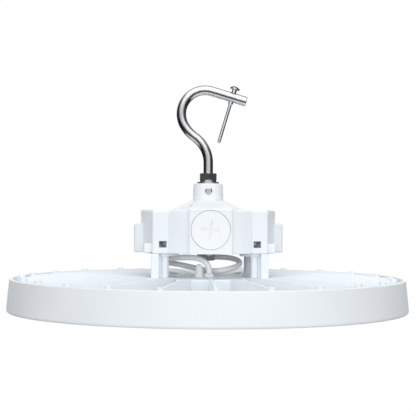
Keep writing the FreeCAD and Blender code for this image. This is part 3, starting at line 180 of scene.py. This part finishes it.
def blackened_steel():
    """Dark oxide with a soft shine."""
    finish = new_finish("blackened_steel", (0.09, 0.10, 0.12), roughness=0.34, metallic=0.9)
    vary_colour(finish, noise_on(finish, scale=600, detail=3),
                (0.15, 0.165, 0.19), (0.24, 0.26, 0.285))
    vary_roughness(finish, noise_on(finish, scale=1100), 0.26, 0.42)
    return finish


def moulded(name, dark, light, roughness):
    """Moulded plastic or rubber with a fine matt grain."""
    finish = new_finish(name, light, roughness)
    vary_colour(finish, noise_on(finish, scale=220, detail=3), dark, light)
    bump_on(finish, noise_on(finish, scale=2600), height=0.04 * MM, strength=0.3)
    return finish


def frosted_lens():
    """Frosted polycarbonate, with light in its skin."""
    finish = new_finish("frosted_polycarbonate", (0.90, 0.91, 0.92), roughness=0.55)
    shader_of(finish).inputs["Subsurface Weight"].default_value = 0.25
    shader_of(finish).inputs["Subsurface Radius"].default_value = (LENS_SKIN,) * 3
    vary_colour(finish, noise_on(finish, scale=30, detail=3),
                (0.87, 0.88, 0.89), (0.92, 0.93, 0.94))
    bump_on(finish, noise_on(finish, scale=3200), height=0.03 * MM, strength=0.4)
    return finish


def drawn_aluminium():
    """Bare aluminium with faint lines along X."""
    finish = new_finish("drawn_aluminium", (0.70, 0.71, 0.73), roughness=0.36, metallic=1.0)
    vary_colour(finish, noise_on(finish, scale=160, detail=3, stretch=(0.1, 1, 1)),
                (0.62, 0.63, 0.65), (0.76, 0.77, 0.78))
    return finish


def phosphor():
    """The yellow face of an LED that is off."""
    finish = new_finish("yellow_phosphor", (0.90, 0.74, 0.22), roughness=0.35)
    vary_colour(finish, noise_on(finish, scale=900), (0.86, 0.68, 0.18), (0.93, 0.80, 0.30))
    return finish


FINISHES = {
    "white_coat": powder_coat(),
    "hook_steel": polished_steel(),
    "bright_steel": zinc_steel(),
    "dark_steel": blackened_steel(),
    "silicone": moulded("silicone", (0.44, 0.45, 0.46), (0.54, 0.55, 0.56), 0.7),
    "white_plastic": moulded("white_nylon", (0.875, 0.89, 0.905), (0.885, 0.90, 0.915), 0.5),
    "grey_plastic": moulded("grey_nylon", (0.40, 0.42, 0.43), (0.48, 0.50, 0.51), 0.5),
    "cable_jacket": moulded("cable_jacket", (0.93, 0.935, 0.94), (0.95, 0.955, 0.96), 0.32),
    "board_white": moulded("white_solder_resist", (0.82, 0.82, 0.80), (0.88, 0.88, 0.86), 0.35),
    "frosted_lens": frosted_lens(),
    "bare_aluminium": drawn_aluminium(),
    "led_phosphor": phosphor(),
}


# ---------------------------------------------------------------- pieces

SLOTS = {part["node"]: part["material_slot"] for part in frame["record"]["subparts"]}

DOUBLES_APART = 0.01 * MM
FLAT_ANGLE = math.radians(0.5)
SHARP_ANGLE = math.radians(32)
SMOOTH_ANGLE = math.radians(35)
ROUND_SEGMENTS = 3


def coat(piece, slot_name):
    piece.data.materials.clear()
    piece.data.materials.append(FINISHES[slot_name])


def dress_plain_nodes():
    for node, piece in frame["nodes"].items():
        coat(piece, SLOTS[node])


def new_piece(name, bm, slot_name):
    """A bmesh becomes a piece of the lamp, smooth but for its sharp edges."""
    mesh = bpy.data.meshes.new(name)
    bm.to_mesh(mesh)
    bm.free()
    mesh.shade_smooth()
    mesh.set_sharp_from_angle(angle=SMOOTH_ANGLE)
    piece = put_in_scene(name, mesh)
    coat(piece, slot_name)
    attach(piece, "root")
    return piece


def keep_flats_flat(piece):
    """Weighted normals keep a flat face even beside its rounded edges."""
    weights = piece.modifiers.new("flat_faces", "WEIGHTED_NORMAL")
    weights.keep_sharp = True


def round_edges(bm, edges, radius):
    bmesh.ops.bevel(bm, geom=edges, offset=radius, offset_type="OFFSET", affect="EDGES",
                    segments=ROUND_SEGMENTS, profile=0.5, clamp_overlap=False, material=-1)


def middle_of(edge):
    return (edge.verts[0].co + edge.verts[1].co) / 2


def merged_copy(node):
    """The node's mesh as a bmesh with its doubles merged and its flat faces whole again."""
    bm = bmesh.new()
    bm.from_mesh(frame["nodes"][node].data)
    bmesh.ops.remove_doubles(bm, verts=bm.verts, dist=DOUBLES_APART)
    bmesh.ops.dissolve_limit(bm, angle_limit=FLAT_ANGLE, verts=bm.verts, edges=bm.edges)
    return bm


def soften(node, rounds):
    """A copy of a casting stands for the node. Each round is a radius and a test of edges."""
    bm = merged_copy(node)
    for radius, is_chosen in rounds:
        edges = [edge for edge in bm.edges if edge.is_convex
                 and edge.calc_face_angle(0) > SHARP_ANGLE and is_chosen(middle_of(edge))]
        round_edges(bm, edges, radius)
    piece = new_piece(node + "_soft", bm, SLOTS[node])
    keep_flats_flat(piece)
    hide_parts(node)


# ---------------------------------------------------------------- legs and housing

LEG_NAMES = ("leg_front_left", "leg_front_right", "leg_rear_left", "leg_rear_right")
LEG_FOOT_TOP = 57.1 * MM
LEG_ROUND = 0.4 * MM

KNOB_ROUND = 2.0 * MM
KNOB_INNER = 58 * MM
KNOB_NEAR = 40.5 * MM
KNOB_FAR = 52.5 * MM
KNOB_TOP = 70.5 * MM

SHOULDER_ROUND = 2.4 * MM
SHOULDER_LOW = 102 * MM
SHOULDER_HIGH = 104 * MM
SHOULDER_REACH = 60 * MM
PAD_HALF_WIDTH = 24 * MM

OUTER_ROUND = 1.2 * MM
COLLAR_REACH = 38 * MM
CAVITY_TOP = 101 * MM
CAVITY_REACH = 66 * MM
PORT_HALF_WIDTH = 20 * MM
PORT_FRONT = -60 * MM
PORT_TOP = 103 * MM
SCREWS_LOW = 65 * MM
SCREWS_HIGH = 74.5 * MM
SCREWS_INNER = 40.5 * MM


def is_leg_foot(middle):
    return middle.z < LEG_FOOT_TOP


def is_knob_edge(middle):
    """True for the edges of the small knobs that stand out beside the corner columns."""
    return (abs(middle.x) > KNOB_INNER and KNOB_NEAR < abs(middle.y) < KNOB_FAR
            and middle.z < KNOB_TOP)


def is_shoulder_edge(middle):
    """True for the top edge of the shell and its corner columns, but not above the pads."""
    return (SHOULDER_LOW < middle.z < SHOULDER_HIGH and middle.xy.length > SHOULDER_REACH
            and abs(middle.x) > PAD_HALF_WIDTH)


def is_outer_edge(middle):
    """True outside the housing's cavity, away from its port, its screw notches and the collar."""
    reach = middle.xy.length
    in_cavity = middle.z <= CAVITY_TOP and reach <= CAVITY_REACH
    at_port = (abs(middle.x) < PORT_HALF_WIDTH and middle.y < PORT_FRONT
               and middle.z < PORT_TOP)
    at_screws = (SCREWS_LOW < middle.z < SCREWS_HIGH
                 and min(abs(middle.x), abs(middle.y)) > SCREWS_INNER)
    return reach > COLLAR_REACH and not (in_cavity or at_port or at_screws)


# ---------------------------------------------------------------- hub front and screw notches

HUB_WALL_RADIUS = 36.5 * MM
HUB_WALL_OUTSIDE = 37.2 * MM
HUB_FRONT_LEFT = math.radians(66.5)
HUB_FRONT_RIGHT = math.radians(82)
HUB_FRONT_STEPS = 24
HUB_FRONT_FACE = -76.0 * MM
HUB_FRONT_FOOT = 19.0 * MM
HUB_FRONT_TOP = 35.7 * MM
HUB_FRONT_ROUND = 1.2 * MM
DISH_FLOOR_TOP = 25 * MM


def only_verts(geometry):
    return [item for item in geometry if isinstance(item, bmesh.types.BMVert)]


def cast_hub_front():
    """The flat face of the hub between its two front leg pads.

    An arc in the hub's round wall is drawn out to a flat front, and the sheet between them is
    raised from inside the dish's floor. The edges that stay in sight are rounded.
    """
    bm = bmesh.new()
    start = bm.verts.new((-HUB_WALL_RADIUS * math.sin(HUB_FRONT_LEFT),
                          -HUB_WALL_RADIUS * math.cos(HUB_FRONT_LEFT), HUB_FRONT_FOOT))
    bmesh.ops.spin(bm, geom=[start], cent=(0, 0, 0), axis=(0, 0, 1),
                   angle=HUB_FRONT_LEFT + HUB_FRONT_RIGHT, steps=HUB_FRONT_STEPS)
    front = only_verts(bmesh.ops.extrude_edge_only(bm, edges=bm.edges[:])["geom"])
    bmesh.ops.scale(bm, vec=(1, 0, 1), verts=front)
    bmesh.ops.translate(bm, vec=(0, HUB_FRONT_FACE, 0), verts=front)
    top = only_verts(bmesh.ops.extrude_face_region(bm, geom=bm.faces[:],
                                                   use_keep_orig=True)["geom"])
    bmesh.ops.translate(bm, vec=(0, 0, HUB_FRONT_TOP - HUB_FRONT_FOOT), verts=top)
    bmesh.ops.recalc_face_normals(bm, faces=bm.faces)
    in_sight = [edge for edge in bm.edges if edge.calc_face_angle(0) > SHARP_ANGLE
                and middle_of(edge).z > DISH_FLOOR_TOP
                and middle_of(edge).xy.length > HUB_WALL_OUTSIDE]
    round_edges(bm, in_sight, HUB_FRONT_ROUND)
    keep_flats_flat(new_piece("hub_front", bm, "white_coat"))


COLUMN_INNER = 41.0 * MM
COLUMN_FACE = 56.95 * MM
COLUMN_ROUND = 1.2 * MM
CORNER_MARGIN = 0.5 * MM
NOTCH_FOOT = 66.0 * MM
NOTCH_TOP = 73.6 * MM
WINDOW_INNER = 42.8 * MM
WINDOW_OUTER = 50.2 * MM
WINDOW_TOP = 72.4 * MM
WINDOW_DEPTH = 2.0 * MM


def block(bm, low, high):
    """A box between two corners."""
    verts = bmesh.ops.create_cube(bm, size=1)["verts"]
    bmesh.ops.scale(bm, vec=[top - foot for foot, top in zip(low, high)], verts=verts)
    bmesh.ops.translate(bm, vec=[(top + foot) / 2 for foot, top in zip(low, high)], verts=verts)


def close_notches():
    """A cheek, a jamb and a lintel leave each screw notch a window in its column's face."""
    window_back = COLUMN_FACE - WINDOW_DEPTH
    cheek = (WINDOW_OUTER, COLUMN_FACE, COLUMN_INNER, NOTCH_FOOT)
    jamb = (COLUMN_INNER, WINDOW_INNER, window_back, NOTCH_FOOT)
    lintel = (WINDOW_INNER, WINDOW_OUTER, window_back, WINDOW_TOP)
    bm = bmesh.new()
    for side in (-1, 1):
        for face in (-1, 1):
            for inner, outer, behind, foot in (cheek, jamb, lintel):
                reach = sorted((side * inner, side * outer))
                depth = sorted((face * behind, face * COLUMN_FACE))
                block(bm, (reach[0], depth[0], foot), (reach[1], depth[1], NOTCH_TOP))
    corners = [edge for edge in bm.edges
               if min(abs(length) for length in middle_of(edge).xy) > COLUMN_FACE - CORNER_MARGIN]
    round_edges(bm, corners, COLUMN_ROUND)
    new_piece("notch_cheeks", bm, "white_coat")


# ---------------------------------------------------------------- cable

CABLE_DIAMETER = 5.6 * MM
CABLE_RING_STEPS = 5
CABLE_RUN_STEPS = 8
# In millimetres, from the gland under the housing to the gland on the hub.
CABLE_ROUTE = [
    (8.0, 22.0, 53.8), (18.3, 22.0, 53.8), (28.6, 16.2, 52.4), (34.3, 4.5, 49.4),
    (31.0, -8.9, 45.8), (19.5, -16.7, 42.6), (5.4, -14.9, 40.6), (-5.6, -5.1, 41.6),
    (-14.9, 7.9, 43.6), (-27.5, 13.4, 46.0), (-40.4, 9.9, 48.2), (-47.9, -0.6, 50.0),
    (-46.6, -13.5, 51.3), (-37.0, -22.7, 54.2), (-22.6, -24.0, 55.3), (-11.0, -24.4, 54.6),
    (-3.2, -26.0, 50.8), (0.5, -27.0, 45.2), (0.5, -27.0, 39.4),
]


def lay_cable():
    """The jacketed cable lies in one open loop between the housing and the hub."""
    curve = bpy.data.curves.new("led_cable", "CURVE")
    curve.dimensions = "3D"
    curve.bevel_depth = CABLE_DIAMETER / 2
    curve.bevel_resolution = CABLE_RING_STEPS
    curve.use_fill_caps = True
    line = curve.splines.new("NURBS")
    line.points.add(len(CABLE_ROUTE) - 1)
    for point, spot in zip(line.points, CABLE_ROUTE):
        point.co = (*(length * MM for length in spot), 1)
    line.order_u = 3
    line.use_endpoint_u = True
    line.resolution_u = CABLE_RUN_STEPS
    piece = put_in_scene("led_cable", curve)
    coat(piece, "cable_jacket")
    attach(piece, "root")
    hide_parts("led_lead")


# ---------------------------------------------------------------- floor and lights

FLOOR_RADIUS = 4.5
FLOOR_DROP = 1.5
FLOOR_SIDES = 96
FLOOR_TONE = 0.72
FLOOR_ROUGHNESS = 0.9

# Each soft box: its name, its place, its width and height, and its power in watts.
SOFT_BOXES = [
    ("front_box", (0, -2.1, 1.5), (2.2, 1.4), 6),
    ("low_box", (0, -4.6, 0.7), (9.0, 1.2), 120),
    ("top_box", (0, 0, 1.8), (1.6, 1.6), 13.5),
]
LIT_SPOT = Vector((0, 0, 100 * MM))


def lay_floor():
    """A pale floor far below the lamp, which hangs from its hook."""
    bm = bmesh.new()
    bmesh.ops.create_circle(bm, cap_ends=True, segments=FLOOR_SIDES, radius=FLOOR_RADIUS)
    mesh = bpy.data.meshes.new("studio_floor")
    bm.to_mesh(mesh)
    bm.free()
    mesh.materials.append(new_finish("studio_floor", grey(FLOOR_TONE), FLOOR_ROUGHNESS))
    floor = put_in_scene("studio_floor", mesh)
    floor.location.z = -FLOOR_DROP
    floor.visible_glossy = False


def hang_soft_box(name, spot, size, power):
    """A soft box that faces the housing, and that nothing mirrors."""
    lamp = bpy.data.lights.new(name, "AREA")
    lamp.shape = "RECTANGLE"
    lamp.size, lamp.size_y = size
    lamp.energy = power
    box = put_in_scene(name, lamp)
    box.location = spot
    box.rotation_euler = (LIT_SPOT - Vector(spot)).to_track_quat("-Z", "Y").to_euler()
    box.visible_glossy = False


# ---------------------------------------------------------------- room

ROOM_LIGHT = 0.58
LIGHT_FROM_BELOW = 0.25
HORIZON_BAND = 0.15
MIRROR_BRIGHTNESS = 1.75
BACKDROP_BRIGHTNESS = 1.0

# What polished steel mirrors: (place, brightness) from the middle of the room to either side,
# from below to above, and from the front to the back.
ACROSS = [(0.0, 1.0), (0.50, 0.95), (0.75, 0.25), (0.90, 0.05), (1.0, 0.04)]
UPWARDS = [(-1.0, 0.7), (-0.85, 0.7), (-0.70, 0.05), (-0.25, 0.03), (-0.08, 0.4), (0.05, 0.5),
           (0.35, 1.0), (1.0, 1.0)]
BACKWARDS = [(-1.0, 1.0), (0.05, 1.0), (0.32, 0.10), (0.60, 0.06), (0.85, 0.6), (1.0, 0.9)]


def feed(room, source, socket):
    """The socket gets another node's output or a plain number."""
    if isinstance(source, bpy.types.NodeSocket):
        room.links.new(source, socket)
    else:
        socket.default_value = source


def worked_out(room, operation, first, second):
    """The output of a Math node on two outputs or numbers."""
    step = room.nodes.new("ShaderNodeMath")
    step.operation = operation
    feed(room, first, step.inputs[0])
    feed(room, second, step.inputs[1])
    return step.outputs["Value"]


def mirrored_band(room, value, stops):
    """Brightness along one direction of the room, from stops between -1 and 1."""
    half = worked_out(room, "MULTIPLY", value, 0.5)
    ramp = room.nodes.new("ShaderNodeValToRGB")
    feed(room, worked_out(room, "ADD", half, 0.5), ramp.inputs["Fac"])
    places = [(spot + 1) / 2 for spot, level in stops]
    marks = ramp.color_ramp.elements
    marks[1].position = places[-1]
    marks[0].position = places[0]
    for place in places[1:-1]:
        marks.new(place)
    for mark, (spot, level) in zip(marks, stops):
        mark.color = (*grey(level), 1)
    return ramp.outputs["Color"]


def chosen_by(room, switch, otherwise, chosen):
    """The value `chosen` where the switch is on, and `otherwise` where it is off."""
    mix = room.nodes.new("ShaderNodeMix")
    feed(room, switch, mix.inputs["Factor"])
    feed(room, otherwise, mix.inputs["A"])
    feed(room, chosen, mix.inputs["B"])
    return mix.outputs["Result"]


def paint_room():
    """An even white room, dim below. Gloss mirrors its dark walls, and the backdrop is white."""
    world = bpy.data.worlds.new("studio")
    world.use_nodes = True
    world.cycles.sampling_method = "NONE"
    room = world.node_tree
    direction = room.nodes.new("ShaderNodeTexCoord")
    split = room.nodes.new("ShaderNodeSeparateXYZ")
    feed(room, direction.outputs["Generated"], split.inputs["Vector"])
    glow = room.nodes.new("ShaderNodeMapRange")
    glow.inputs["From Min"].default_value = -HORIZON_BAND
    glow.inputs["From Max"].default_value = HORIZON_BAND
    glow.inputs["To Min"].default_value = LIGHT_FROM_BELOW
    glow.inputs["To Max"].default_value = ROOM_LIGHT
    feed(room, split.outputs["Z"], glow.inputs["Value"])
    sideways = worked_out(room, "ABSOLUTE", split.outputs["X"], 0)
    mirrored = MIRROR_BRIGHTNESS
    for value, stops in ((sideways, ACROSS), (split.outputs["Z"], UPWARDS),
                         (split.outputs["Y"], BACKWARDS)):
        mirrored = worked_out(room, "MULTIPLY", mirrored, mirrored_band(room, value, stops))
    ray = room.nodes.new("ShaderNodeLightPath")
    seen = chosen_by(room, ray.outputs["Is Glossy Ray"], glow.outputs["Result"], mirrored)
    seen = chosen_by(room, ray.outputs["Is Camera Ray"], seen, BACKDROP_BRIGHTNESS)
    background = room.nodes["Background"]
    background.inputs["Color"].default_value = (1, 1, 1, 1)
    feed(room, seen, background.inputs["Strength"])
    bpy.context.scene.world = world


def light_studio():
    paint_room()
    bpy.context.scene.view_settings.view_transform = "Standard"
    for soft_box in SOFT_BOXES:
        hang_soft_box(*soft_box)


# ---------------------------------------------------------------- the lamp

dress_plain_nodes()
aim_camera()
lay_cable()
for leg in LEG_NAMES:
    soften(leg, [(LEG_ROUND, is_leg_foot)])
soften("driver_housing", [(KNOB_ROUND, is_knob_edge), (SHOULDER_ROUND, is_shoulder_edge),
                          (OUTER_ROUND, is_outer_edge)])
cast_hub_front()
close_notches()
lay_floor()
light_studio()

bpy.context.view_layer.update()
